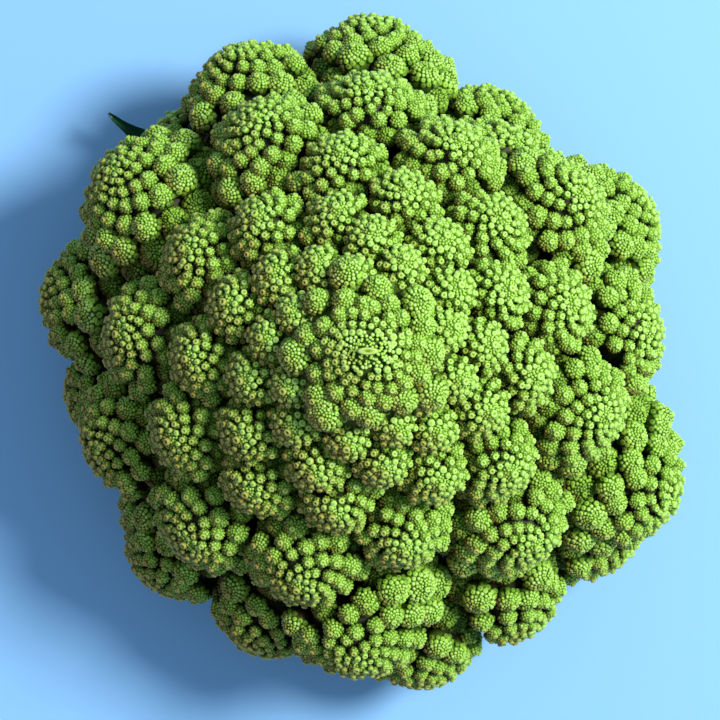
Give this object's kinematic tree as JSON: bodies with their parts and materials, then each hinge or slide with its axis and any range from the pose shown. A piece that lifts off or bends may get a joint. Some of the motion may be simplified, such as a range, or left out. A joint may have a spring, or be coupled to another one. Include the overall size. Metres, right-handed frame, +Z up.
{
  "type": "romanesco head",
  "caption": "Head of romanesco: cone-shaped florets set in golden-angle spirals round a cut stalk, tip up, with one small leaf and cut leaf bases.",
  "frame": {"origin": "centre of the stalk's cut end, straight under the growing tip", "axes": "+Z up along the stalk to the growing tip; +X and +Y level, with the spiral of florets running anticlockwise outward as seen from above"},
  "size_m": [0.1595, 0.1701, 0.113],
  "materials": {
    "curd": "fresh lime-green romanesco curd, waxy and matt, darker and browner between the buds",
    "stem": "pale green stalk with a moist cream cut end",
    "cut_rib": "pale cut leaf rib, smooth skin and fibrous cut face",
    "leaf": "blue-green waxy leaf with paler veins"
  },
  "bodies": {
    "root": {"floret_05": "curd", "floret_06": "curd", "floret_07": "curd", "floret_08": "curd", "floret_09": "curd", "floret_10": "curd", "floret_11": "curd", "floret_12": "curd", "floret_13": "curd", "floret_14": "curd", "floret_15": "curd", "floret_16": "curd", "floret_17": "curd", "floret_18": "curd", "floret_19": "curd", "floret_20": "curd", "floret_21": "curd", "floret_22": "curd", "floret_23": "curd", "floret_24": "curd", "floret_25": "curd", "floret_26": "curd", "floret_27": "curd", "floret_28": "curd", "floret_29": "curd", "floret_30": "curd", "floret_31": "curd", "floret_32": "curd", "floret_33": "curd", "floret_34": "curd", "floret_35": "curd", "floret_36": "curd", "floret_37": "curd", "floret_38": "curd", "floret_39": "curd", "floret_40": "curd", "floret_41": "curd", "floret_42": "curd", "floret_43": "curd", "floret_44": "curd", "floret_45": "curd", "floret_46": "curd", "floret_47": "curd", "floret_48": "curd", "floret_49": "curd", "floret_50": "curd", "floret_51": "curd", "floret_52": "curd", "floret_53": "curd", "floret_54": "curd", "floret_55": "curd", "floret_56": "curd", "floret_57": "curd", "floret_58": "curd", "floret_59": "curd", "floret_60": "curd", "stalk": "stem", "leaf_stub_1": "cut_rib", "leaf_stub_2": "cut_rib", "leaf": "leaf"}
  },
  "joints": []
}
